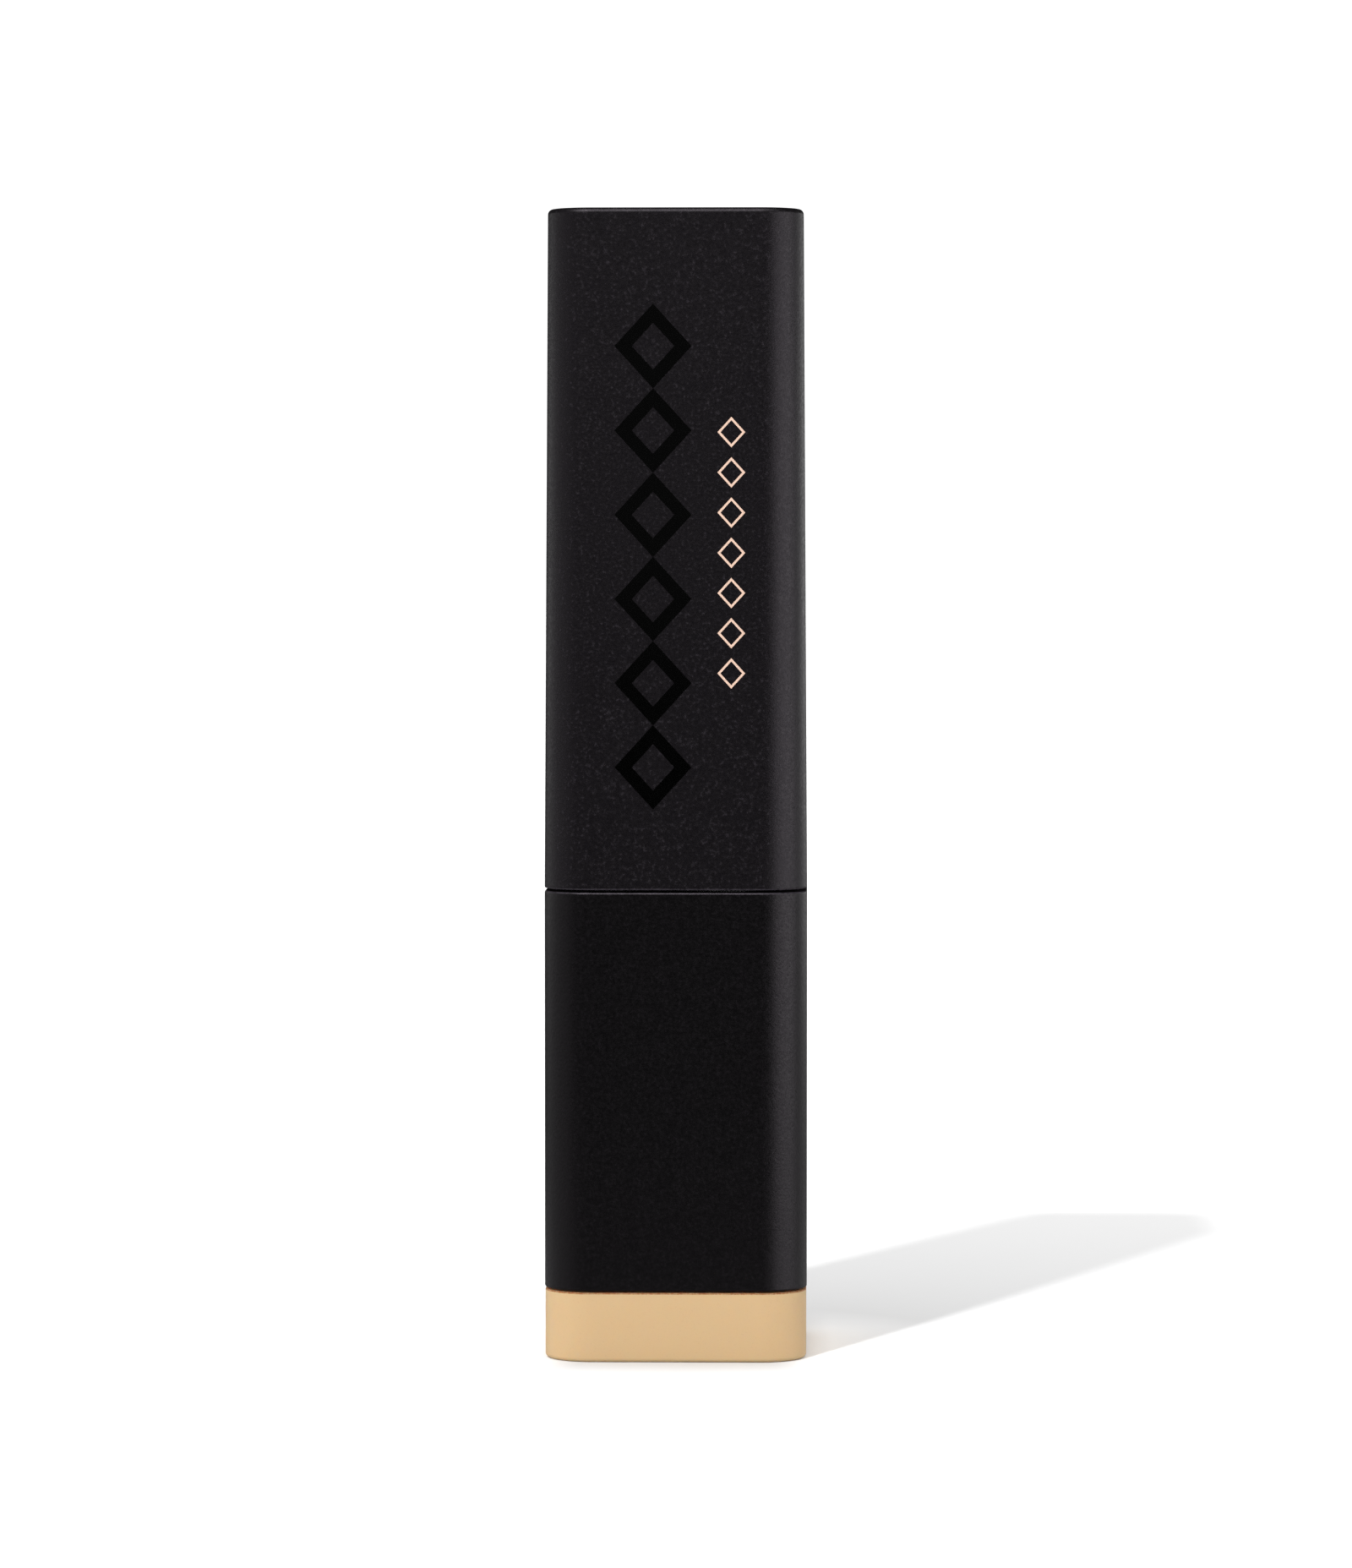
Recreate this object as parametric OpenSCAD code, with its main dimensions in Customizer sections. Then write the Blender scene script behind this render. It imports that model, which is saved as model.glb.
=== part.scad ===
// Square twist-up lipstick case, closed.
// Frame: +Z up, origin at the centre of the underside, the decorated face looks along -Y.
// The case width drives everything inside it: each shell, sleeve and tube is its outer
// neighbour less a wall or a named clearance, down to the stick itself.

/* [Case] */
// Width of the square case over its flats, at the seam
case_width = 20; // [16:0.1:26]
// Plan radius of the four upright corners
corner_radius = 3.6; // [3:0.1:5]
// Visible height of the shade coloured base
base_height = 5.3; // [4:0.05:9]
// Height of the lower shell
body_height = 30.28; // [25:0.01:45]
// Height of the cap
cap_height = 51.5; // [42:0.05:66]
// Shadow gap between the cap and the lower shell
seam_gap = 0.18; // [0.05:0.01:0.4]
// Shadow line between the base and the lower shell
base_joint_gap = 0.1; // [0.02:0.01:0.3]

/* [Walls] */
// Wall of the lower shell
body_wall = 1.35; // [1:0.05:1.8]
// Wall of the cap at its mouth
cap_wall = 1.35; // [1:0.05:1.8]
// Thickness of the cap's closed top
cap_top_wall = 1.6; // [1:0.1:3]
// Inward lean of each cap face from mouth to top
cap_draft = 0.29; // [0:0.01:0.5]
// Step in of the base behind the lower shell
base_inset = 0.04; // [0:0.01:0.3]
// Floor of the base
base_floor = 1.6; // [1:0.1:3]
// Wall of the base's plug
plug_wall = 1.2; // [0.8:0.05:2]
// Height of the base's plug inside the lower shell
plug_height = 4; // [3:0.1:6]
// Thickness of the lower shell's turned-in rim
body_lip = 0.8; // [0.5:0.1:1.5]
// Reach of the lower shell's rim past its wall
body_lip_reach = 0.6; // [0.3:0.05:0.6]
// Length of the base's snap bars
snap_bar_length = 9; // [4:0.5:11]
// Height of the base's snap bars
snap_bar_height = 0.5; // [0.3:0.05:1]
// Height of the snap bars over the plug's face
snap_bar_proud = 0.15; // [0.05:0.01:0.3]
// Height of the snap bars' middle above the base joint
snap_bar_rise = 2.4; // [1.2:0.1:2.6]
// Radius of the paper label under the base
label_radius = 6.5; // [4:0.1:7]
// Thickness of the label
label_thickness = 0.12; // [0.05:0.01:0.2]
// Depth of the recess that holds the label
label_recess = 0.3; // [0.25:0.05:0.5]
// Room round the label in its recess
label_margin = 0.3; // [0.1:0.1:0.6]

/* [Edges] */
// Rounding of the cap's top edge
cap_top_edge = 0.4; // [0.2:0.05:0.8]
// Rounding at the seam, on the cap and on the lower shell
seam_edge = 0.15; // [0.05:0.05:0.4]
// Rounding of the base's bottom edge
base_edge = 0.45; // [0.3:0.05:1.2]
// Rounding at the base joint
base_joint_edge = 0.15; // [0.05:0.01:0.2]
// Rounding of the collar's top edge
collar_edge = 0.5; // [0.2:0.05:0.8]
// Rounding of the collar's foot
collar_foot_edge = 0.1; // [0.05:0.01:0.15]
// Chamfer of the collar's round mouth
collar_mouth_chamfer = 0.25; // [0.1:0.05:0.4]

/* [Collar and liner] */
// Height of the collar above the seam
collar_height = 20; // [16:0.5:26]
// Plan radius of the collar's upright corners
collar_corner = 2.2; // [1.9:0.1:3]
// Wall of the collar's drawn sleeve
collar_wall = 0.35; // [0.25:0.01:0.6]
// Thickness of the collar's turned-in top
collar_lip = 0.7; // [0.4:0.05:1.2]
// Depth of the snap groove round the collar
snap_groove_depth = 0.1; // [0.05:0.01:0.2]
// Height of the snap groove
snap_groove_height = 0.8; // [0.5:0.1:1.5]
// Height of the snap groove's middle above the collar's foot
snap_groove_rise = 4; // [2:0.1:8]
// Wall of the cap's liner
liner_wall = 0.55; // [0.4:0.01:0.9]
// Length of the liner
liner_length = 24; // [12:0.5:30]
// Step of the liner inside the cap's mouth
liner_recess = 0.6; // [0.2:0.1:2]
// Height of the liner's grip beads over its wall
grip_bead = 0.09; // [0.02:0.01:0.1]
// Length of each grip bead
grip_bead_length = 5; // [2:0.5:8]
// Width of each grip bead
grip_bead_width = 0.6; // [0.3:0.05:1]

/* [Mechanism] */
// Rise of the stick for one turn
lead = 12; // [9:0.5:16]
// Diameter of the two drive lugs
lug_diameter = 1.5; // [1:0.1:2]
// Depth of the spiral grooves
groove_depth = 0.55; // [0.4:0.01:0.8]
// Wall of the spiral tube behind its grooves
spiral_web = 0.3; // [0.25:0.01:0.6]
// Wall of the fork tube
fork_wall = 0.6; // [0.4:0.01:0.9]
// Height of the fork tube's splined foot
fork_foot_height = 3; // [2:0.1:5]
// Depth of the core's socket and of the splines that fill it
spline_depth = 0.3; // [0.15:0.05:0.5]
// Width of each spline
spline_width = 0.5; // [0.3:0.05:0.8]
// Number of splines round the foot
spline_count = 24; // [12:2:36]
// Section of the rubber brake ring
brake_section = 0.8; // [0.5:0.05:0.8]
// Thickness of the retainer ring
retainer_height = 0.8; // [0.5:0.05:1.2]
// Depth of the retainer ring's seat in the fork tube
retainer_seat = 0.2; // [0.1:0.01:0.3]
// Reach of the retainer ring over the spiral tube
retainer_reach = 0.33; // [0.2:0.01:0.45]
// Width of the retainer ring's mouth
retainer_mouth = 1.6; // [0.5:0.1:3]
// Solid length of spiral tube under its grooves
groove_land = 1.5; // [1:0.1:4]
// Width of the keys that fill the collar's corners
key_width = 1.2; // [0.6:0.1:2]
// Distance of the keys' ends from the collar's foot and top
key_margin = 0.6; // [0.2:0.1:2]
// Diameter of the cored-out holes in the core's corners
coring_diameter = 1.1; // [0.6:0.1:1.3]
// Length of the cored-out holes
coring_length = 14; // [4:1:16]
// Thickness of the steel weight
weight_height = 6.5; // [3:0.1:7]
// Diameter of the hole through the weight
weight_bore = 4; // [2:0.5:8]
// Chamfer at the top of the weight's hole
weight_chamfer = 0.5; // [0.2:0.1:1]

/* [Stick] */
// Height of the cup that holds the stick
cup_height = 9.5; // [6:0.1:12]
// Wall of the cup
cup_wall = 0.45; // [0.3:0.01:0.8]
// Floor of the cup
cup_floor = 1; // [0.6:0.1:2]
// Diameter of the hole in the cup's floor
cup_hole = 3; // [1:0.5:5]
// Chamfer inside the cup's rim
cup_chamfer = 0.2; // [0.05:0.05:0.3]
// Height of the lugs' middle above the cup's foot
lug_rise = 1.5; // [1:0.1:4]
// Height of the cup's rim over the collar when fully up
rim_show = 0.8; // [0:0.1:2]
// Depth of the stick's tip below the collar's top when down
tip_recess = 1.2; // [0.5:0.1:4]
// Room left between the raised stick and the cap's ceiling
tip_clearance = 1.35; // [0.5:0.05:5]
// Drop of the stick's slanted face from heel to tip
slant_drop = 8; // [4:0.5:10]
// Height of the stick's rounded shoulder
tip_round = 3; // [1:0.1:4]
// Reach of the shoulder's rounding in from the side
tip_round_reach = 1.9; // [1:0.1:3]

/* [Clearances] */
// Gap of parts pressed or glued together
press_gap = 0.03; // [0.01:0.01:0.1]
// Radial gap of tubes that turn or slide in each other
running_gap = 0.06; // [0.03:0.01:0.1]
// Gap between the cap's liner and the collar
cap_slide_gap = 0.12; // [0.11:0.01:0.3]
// Gap round the spiral tube where it turns in the core
core_gap = 0.12; // [0.06:0.01:0.3]
// Gap under and over parts that turn
end_gap = 0.05; // [0.03:0.01:0.2]
// Gap on each side of a lug in its groove and in its slot
lug_gap = 0.1; // [0.06:0.01:0.3]
// Gap between the stick and its cup
stick_gap = 0.02; // [0.01:0.01:0.1]

/* [Hidden] */
$fn = 96;

// Oversize of a cutter past the face that it opens
past = 1;
arc_steps = 6;

// Half widths and radii, from the outside in
case_half = case_width / 2;
base_half = case_half - base_inset;
body_cavity = case_half - body_wall;
core_half = body_cavity - press_gap;
plug_half = body_cavity - press_gap;
weight_half = plug_half - plug_wall - press_gap;
cap_cavity = case_half - cap_wall;
liner_half = cap_cavity - press_gap;
liner_cavity = liner_half - liner_wall;
collar_half = liner_cavity - cap_slide_gap;
collar_cavity = collar_half - collar_wall;
spiral_out = collar_cavity - press_gap;
groove_root = spiral_out - spiral_web;
spiral_in = groove_root - groove_depth;
fork_out = spiral_in - running_gap;
fork_in = fork_out - fork_wall;
cup_out = fork_in - running_gap;
cup_in = cup_out - cup_wall;
stick_radius = cup_in - stick_gap;
core_bore = spiral_out + core_gap;
// Distance from the axis to the core's rounded corner
core_reach = (core_half - inner_corner(core_half)) * sqrt(2) + inner_corner(core_half);
socket_radius = core_bore + spline_depth;

// Plan radius of a square sleeve that lies inward of the case's face
function inner_corner(half) = corner_radius - (case_half - half);
// The collar's corners are tighter than the case's, so that its flats stay broad
function collar_inner_corner(half) = collar_corner - (collar_half - half);
function liner_corner(half) = min(inner_corner(half), collar_corner + (half - collar_half));

// Heights
body_foot = base_height + base_joint_gap;
seam = body_foot + body_height;
cap_mouth = seam + seam_gap;
cap_top = cap_mouth + cap_height;
cap_ceiling = cap_top - cap_top_wall;
plug_top = base_height + plug_height;
weight_top = base_floor + weight_height;
core_foot = plug_top + end_gap;
core_top = seam - body_lip - press_gap;
fork_foot_top = core_foot + fork_foot_height;
brake_middle = fork_foot_top + brake_section / 2;
spiral_foot = fork_foot_top + brake_section + end_gap;
collar_foot = seam + seam_gap;
snap_groove_middle = collar_foot + snap_groove_rise;
snap_bar_middle = base_height + snap_bar_rise;
collar_top = seam + collar_height;
spiral_top = collar_top - collar_lip - press_gap;
retainer_top = spiral_top - 2 * end_gap;
retainer_foot = retainer_top - retainer_height;
counterbore_foot = retainer_foot - end_gap;
fork_top = collar_top - collar_lip - end_gap;

// Travel: as far as the cap's ceiling and the room under the cup allow
lug_radius = lug_diameter / 2;
groove_height = 2 * (lug_radius + lug_gap) / cos(atan(lead / (2 * PI * spiral_in)));
tip_down = collar_top - tip_recess;
room_over_tip = cap_ceiling - tip_clearance - tip_down;
lowest_lug = spiral_foot + groove_land + groove_height / 2;
room_under_cup = collar_top + rim_show - cup_height + lug_rise - lowest_lug;
stroke = min(room_over_tip, room_under_cup);
turns = stroke / lead;
cup_foot = collar_top + rim_show - cup_height - stroke;
lug_middle = cup_foot + lug_rise;
lug_reach = groove_root - running_gap;
stick_foot = cup_foot + cup_floor;

echo(stroke = stroke, turn_degrees = 360 * turns, cup_foot = cup_foot, stick_radius = stick_radius);

// One quarter arc of an edge rounding, from one angle to another
function arc(centre, r, from, to) =
    [for (i = [0 : arc_steps]) let (a = from + (to - from) * i / arc_steps)
        centre + r * [cos(a), sin(a)]];

// Upright section of a side wall, from an inner line to a leaning and edge-rounded face
function side_section(inner, foot_u, top_u, foot, top, foot_edge, top_edge) = concat(
    [[inner, foot]],
    foot_edge > 0 ? arc([foot_u - foot_edge, foot + foot_edge], foot_edge, -90, 0) : [[foot_u, foot]],
    top_edge > 0 ? arc([top_u - top_edge, top - top_edge], top_edge, 0, 90) : [[top_u, top]],
    [[inner, top]]);

// Solid square bar with round upright corners, leaning faces and rounded foot and top edges
module square_bar(half, corner, foot, top, lean = 0, foot_edge = 0, top_edge = 0) {
    centre = half - corner;
    section = side_section(0, corner, corner - lean, foot, top, foot_edge, top_edge);
    flank = concat(
        [for (p = section) if (p[0] > 0) [centre + p[0], p[1]]],
        [for (i = [len(section) - 1 : -1 : 0]) if (section[i][0] > 0)
            [-centre - section[i][0], section[i][1]]]);
    for (turn = [0 : 90 : 270])
        rotate(turn) translate([centre, centre, 0]) rotate_extrude(angle = 90) polygon(section);
    for (turn = [0, 90])
        rotate(turn) rotate([90, 0, 0]) linear_extrude(2 * centre, center = true) polygon(flank);
}

// Round tube between two heights
module tube(outer, inner, foot, top) {
    difference() {
        translate([0, 0, foot]) cylinder(r = outer, h = top - foot);
        translate([0, 0, foot - past]) cylinder(r = inner, h = top - foot + 2 * past);
    }
}

// Four bars along the flats of a square, standing out of it by proud
module flat_bars(half, proud, length, height, middle) {
    for (turn = [0 : 90 : 270])
        rotate(turn) translate([half - past / 2, 0, middle])
            cube([past + 2 * proud, length, height], center = true);
}

// Two helical cutters that open the grooves, with flats set outside the groove's root
module groove_cutters(foot, top) {
    step_angle = 12;
    half_angle = 180 * groove_height / lead;
    cut_radius = groove_root / cos(step_angle / 2);
    arc_parts = ceil(2 * half_angle / step_angle);
    sector = concat(
        [for (i = [0 : arc_parts]) let (a = -half_angle + 2 * half_angle * i / arc_parts)
            cut_radius * [cos(a), sin(a)]],
        [(spiral_in - running_gap * 4) * [cos(half_angle), sin(half_angle)],
            (spiral_in - running_gap * 4) * [cos(half_angle), -sin(half_angle)]]);
    turned = 360 * (top - foot) / lead;
    for (start = [0, 180])
        rotate(start + 360 * (lug_middle - foot) / lead) translate([0, 0, foot])
            linear_extrude(top - foot, twist = turned, slices = ceil(turned / step_angle), segments = 3)
                polygon(sector);
}

module shade_base() color("burlywood") difference() {
    union() {
        square_bar(base_half, inner_corner(base_half), 0, base_height, 0, base_edge, base_joint_edge);
        square_bar(plug_half, inner_corner(plug_half), base_height - past, plug_top);
        flat_bars(plug_half, snap_bar_proud, snap_bar_length, snap_bar_height, snap_bar_middle);
    }
    square_bar(plug_half - plug_wall, inner_corner(plug_half - plug_wall),
        base_floor, plug_top + past);
    translate([0, 0, -past]) cylinder(r = label_radius + label_margin, h = past + label_recess);
}

module shade_label() color("white")
    translate([0, 0, label_recess - label_thickness]) cylinder(r = label_radius, h = label_thickness);

module base_weight() color("slategray") difference() {
    square_bar(weight_half, inner_corner(weight_half), base_floor, weight_top);
    translate([0, 0, base_floor - past]) cylinder(d = weight_bore, h = weight_height + 2 * past);
    translate([0, 0, weight_top - weight_chamfer])
        cylinder(d1 = weight_bore, d2 = weight_bore + 4 * weight_chamfer, h = 2 * weight_chamfer);
}

module body_shell() color("#1a191c") difference() {
    square_bar(case_half, corner_radius, body_foot, seam, 0, base_joint_edge, seam_edge);
    square_bar(body_cavity, inner_corner(body_cavity), body_foot - past, seam - body_lip);
    square_bar(body_cavity - body_lip_reach, inner_corner(body_cavity - body_lip_reach),
        seam - body_lip - past, seam + past);
    flat_bars(body_cavity, snap_bar_proud + press_gap, snap_bar_length + 1,
        snap_bar_height + 2 * press_gap, snap_bar_middle);
}

module base_core() color("#2b2b2e") difference() {
    square_bar(core_half, inner_corner(core_half), core_foot, core_top);
    translate([0, 0, core_foot - past]) cylinder(r = core_bore, h = core_top - core_foot + 2 * past);
    translate([0, 0, core_foot - past])
        cylinder(r = socket_radius, h = fork_foot_height + past + press_gap);
    // Cored-out corners keep the moulding's walls even
    for (turn = [45 : 90 : 315])
        rotate(turn) translate([(core_bore + core_reach) / 2, 0, (core_foot + core_top) / 2])
            cylinder(d = coring_diameter, h = coring_length, center = true);
}

module fork_tube() color("#e8e6df") difference() {
    foot_radius = core_bore - press_gap;
    union() {
        translate([0, 0, core_foot]) cylinder(r = fork_out, h = fork_top - core_foot);
        translate([0, 0, core_foot]) cylinder(r = foot_radius, h = fork_foot_height);
        for (i = [0 : spline_count - 1])
            rotate(360 * i / spline_count)
                translate([foot_radius - past, -spline_width / 2, core_foot])
                    cube([past + spline_depth, spline_width, fork_foot_height]);
    }
    translate([0, 0, core_foot - past]) cylinder(r = fork_in, h = fork_top - core_foot + 2 * past);
    // Two upright slots that keep the lugs from turning
    for (turn = [0, 180])
        rotate(turn) translate([fork_in - past, -lug_radius - lug_gap, lug_middle - lug_radius - lug_gap])
            cube([fork_wall + 2 * past, lug_diameter + 2 * lug_gap, stroke + lug_diameter + 2 * lug_gap]);
    // Seat of the retainer ring
    tube(fork_out + past, fork_out - retainer_seat, retainer_foot, retainer_top);
}

module brake_ring() color("#3a3a3a")
    translate([0, 0, brake_middle]) rotate_extrude()
        translate([fork_out + press_gap + brake_section / 2, 0]) circle(d = brake_section);

module retainer_ring() color("gainsboro") difference() {
    tube(spiral_in + retainer_reach, fork_out - retainer_seat + press_gap,
        retainer_foot + press_gap, retainer_top - press_gap);
    translate([0, -retainer_mouth / 2, retainer_foot - past])
        cube([case_half, retainer_mouth, retainer_height + 2 * past]);
}

module spiral_tube() color("#2b2b2e") difference() {
    // A key's sides meet the collar's rounded corner short of its middle
    corner = collar_inner_corner(collar_cavity);
    key_reach = (collar_cavity - corner) * sqrt(2) + sqrt(corner ^ 2 - (key_width / 2) ^ 2) - press_gap;
    key_foot = collar_foot + key_margin;
    union() {
        translate([0, 0, spiral_foot]) cylinder(r = spiral_out, h = spiral_top - spiral_foot);
        // Keys that fill the collar's corners and turn with it
        intersection() {
            for (turn = [45 : 90 : 315])
                rotate(turn) translate([spiral_in, -key_width / 2, key_foot])
                    cube([case_half, key_width, spiral_top - key_foot - key_margin]);
            translate([0, 0, key_foot - past]) cylinder(r = key_reach, h = spiral_top);
        }
    }
    translate([0, 0, spiral_foot - past]) cylinder(r = spiral_in, h = spiral_top - spiral_foot + 2 * past);
    translate([0, 0, counterbore_foot])
        cylinder(r = spiral_in + retainer_reach + 2 * running_gap, h = spiral_top - counterbore_foot + past);
    groove_cutters(lug_middle - groove_height / 2 - lug_gap,
        lug_middle + stroke + groove_height / 2 + lug_gap);
}

module collar_shell() color("#232226") difference() {
    mouth = cup_out + 2 * running_gap;
    square_bar(collar_half, collar_corner, collar_foot, collar_top, 0, collar_foot_edge, collar_edge);
    square_bar(collar_cavity, collar_inner_corner(collar_cavity),
        collar_foot - past, collar_top - collar_lip);
    translate([0, 0, collar_foot]) cylinder(r = mouth, h = collar_height + past);
    translate([0, 0, collar_top - collar_mouth_chamfer])
        cylinder(r1 = mouth, r2 = mouth + 2 * collar_mouth_chamfer, h = 2 * collar_mouth_chamfer);
    // Snap groove that the liner's grip beads settle over
    difference() {
        square_bar(collar_half + past, collar_corner + past,
            snap_groove_middle - snap_groove_height / 2, snap_groove_middle + snap_groove_height / 2);
        square_bar(collar_half - snap_groove_depth, collar_corner - snap_groove_depth,
            snap_groove_middle - snap_groove_height, snap_groove_middle + snap_groove_height);
    }
}

module cup() color("#efece4") {
    difference() {
        translate([0, 0, cup_foot]) cylinder(r = cup_out, h = cup_height);
        translate([0, 0, stick_foot]) cylinder(r = cup_in, h = cup_height);
        translate([0, 0, cup_foot - past]) cylinder(d = cup_hole, h = 2 * past + cup_floor);
        translate([0, 0, cup_foot + cup_height - cup_chamfer])
            cylinder(r1 = cup_in, r2 = cup_in + 2 * cup_chamfer, h = 2 * cup_chamfer);
    }
    // Drive lugs
    intersection() {
        for (turn = [0, 180])
            rotate(turn) translate([cup_out - cup_wall / 2, 0, lug_middle])
                rotate([0, 90, 0]) cylinder(d = lug_diameter, h = case_half - cup_out);
        translate([0, 0, cup_foot]) cylinder(r = lug_reach, h = cup_height);
    }
}

module bullet() color("tan") difference() {
    slant = atan(slant_drop / (2 * stick_radius));
    shoulder = [for (i = [0 : 10]) let (a = 9 * i)
        [stick_radius - tip_round_reach * (1 - cos(a)), tip_down - tip_round + tip_round * sin(a)]];
    rotate_extrude()
        polygon(concat([[0, stick_foot], [stick_radius, stick_foot]], shoulder, [[0, tip_down]]));
    // Slanted face, low at the front and high at the back
    translate([0, -stick_radius, tip_down - slant_drop]) rotate([slant, 0, 0])
        translate([-case_half, -case_half, 0]) cube([case_width, 2 * case_width, case_width]);
}

module cap_shell() color("#1a191c") difference() {
    square_bar(case_half, corner_radius, cap_mouth, cap_top, cap_draft, seam_edge, cap_top_edge);
    square_bar(cap_cavity, inner_corner(cap_cavity), cap_mouth - past, cap_ceiling);
}

module cap_liner() color("#2b2b2e") {
    liner_foot = cap_mouth + liner_recess;
    liner_top = liner_foot + liner_length;
    difference() {
        square_bar(liner_half, liner_corner(liner_half), liner_foot, liner_top);
        square_bar(liner_cavity, liner_corner(liner_cavity), liner_foot - past, liner_top + past);
    }
    for (turn = [0 : 90 : 270])
        rotate(turn) translate([liner_cavity - grip_bead, -grip_bead_length / 2,
            snap_groove_middle - grip_bead_width / 2])
            cube([grip_bead + liner_wall / 2, grip_bead_length, grip_bead_width]);
}

shade_base();
shade_label();
base_weight();
body_shell();
base_core();
fork_tube();
brake_ring();
retainer_ring();
spiral_tube();
collar_shell();
cup();
bullet();
cap_shell();
cap_liner();
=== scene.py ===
"""A square twist-up lipstick case, closed: its pieces, their finishes and a plain studio."""

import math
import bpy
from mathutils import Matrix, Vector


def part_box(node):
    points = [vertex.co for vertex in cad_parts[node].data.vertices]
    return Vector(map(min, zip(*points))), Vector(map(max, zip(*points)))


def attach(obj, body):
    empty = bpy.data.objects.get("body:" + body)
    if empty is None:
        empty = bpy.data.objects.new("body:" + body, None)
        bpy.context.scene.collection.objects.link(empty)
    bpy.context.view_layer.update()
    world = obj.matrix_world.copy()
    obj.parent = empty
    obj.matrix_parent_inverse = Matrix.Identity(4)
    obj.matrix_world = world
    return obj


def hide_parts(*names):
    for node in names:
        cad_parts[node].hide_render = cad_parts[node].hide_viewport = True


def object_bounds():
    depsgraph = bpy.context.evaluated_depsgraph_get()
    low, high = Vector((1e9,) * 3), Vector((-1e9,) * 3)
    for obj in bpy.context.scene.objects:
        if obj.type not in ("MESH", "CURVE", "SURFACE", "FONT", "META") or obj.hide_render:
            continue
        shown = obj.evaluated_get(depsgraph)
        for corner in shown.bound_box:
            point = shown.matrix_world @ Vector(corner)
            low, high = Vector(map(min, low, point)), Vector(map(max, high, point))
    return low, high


bl_info = {
    "name": "Square lipstick case",
    "version": (1, 0, 0),
    "blender": (4, 5, 0),
    "location": "View3D > Sidebar > Stick case",
    "description": "Builds the shells, collar, cup, stick and printed marks of a square case",
    "category": "Add Mesh",
}

import bmesh
import bpy
from bpy.props import FloatProperty, FloatVectorProperty, IntProperty, PointerProperty
from mathutils import Matrix, Vector

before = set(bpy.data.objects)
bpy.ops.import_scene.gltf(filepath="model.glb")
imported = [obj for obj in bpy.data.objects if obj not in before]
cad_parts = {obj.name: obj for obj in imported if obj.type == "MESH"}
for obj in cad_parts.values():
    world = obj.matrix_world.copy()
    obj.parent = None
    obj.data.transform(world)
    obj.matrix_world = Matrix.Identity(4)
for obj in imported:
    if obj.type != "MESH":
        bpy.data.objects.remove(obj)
CAD_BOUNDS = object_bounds()

MM = 0.001
CORNER_ARC = 20  # flats along each upright corner
EDGE_ARC = 5  # flats across each rounded edge
ROUND = 96  # flats round each turned piece
LUG_ROUND = 32  # flats round each lug
TABLE_HALF = 6.0  # half the table's width, in metres
SMOOTH_BELOW = math.radians(30)  # edges that turn by less are shaded smooth
PAST = 0.01 * MM  # tolerance when edges and faces are picked by their height
RIPPLE = 1.4 * MM  # length of the slow ripple that sprayed and moulded surfaces keep
PAINTED_EDGE_LIGHT = "painted_edge_light"  # attribute that is 1 along the edges that get a painted highlight or a painted shade

CAP_LOW, CAP_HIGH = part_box("cap_shell")
BODY_LOW, BODY_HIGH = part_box("body_shell")
BASE_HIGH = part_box("shade_base")[1]
COLLAR_LOW, COLLAR_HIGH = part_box("collar_shell")
CUP_LOW, CUP_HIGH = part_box("cup")
STICK_LOW, STICK_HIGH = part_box("bullet")


def linear(colour):
    """An sRGB hex colour as linear red, green and blue."""
    parts = [int(colour[i : i + 2], 16) / 255 for i in (0, 2, 4)]
    return tuple(c / 12.92 if c <= 0.04045 else ((c + 0.055) / 1.055) ** 2.4 for c in parts)


def size(name, description, millimetres):
    """A length property with its default given in millimetres."""
    return FloatProperty(
        name=name, description=description, default=millimetres * MM, min=0.0, precision=5,
        unit="LENGTH")


def colour(name, description, code):
    """A colour property with its default given as sRGB hex."""
    return FloatVectorProperty(
        name=name, description=description, default=linear(code), min=0.0, max=1.0, size=3,
        subtype="COLOR")


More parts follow.
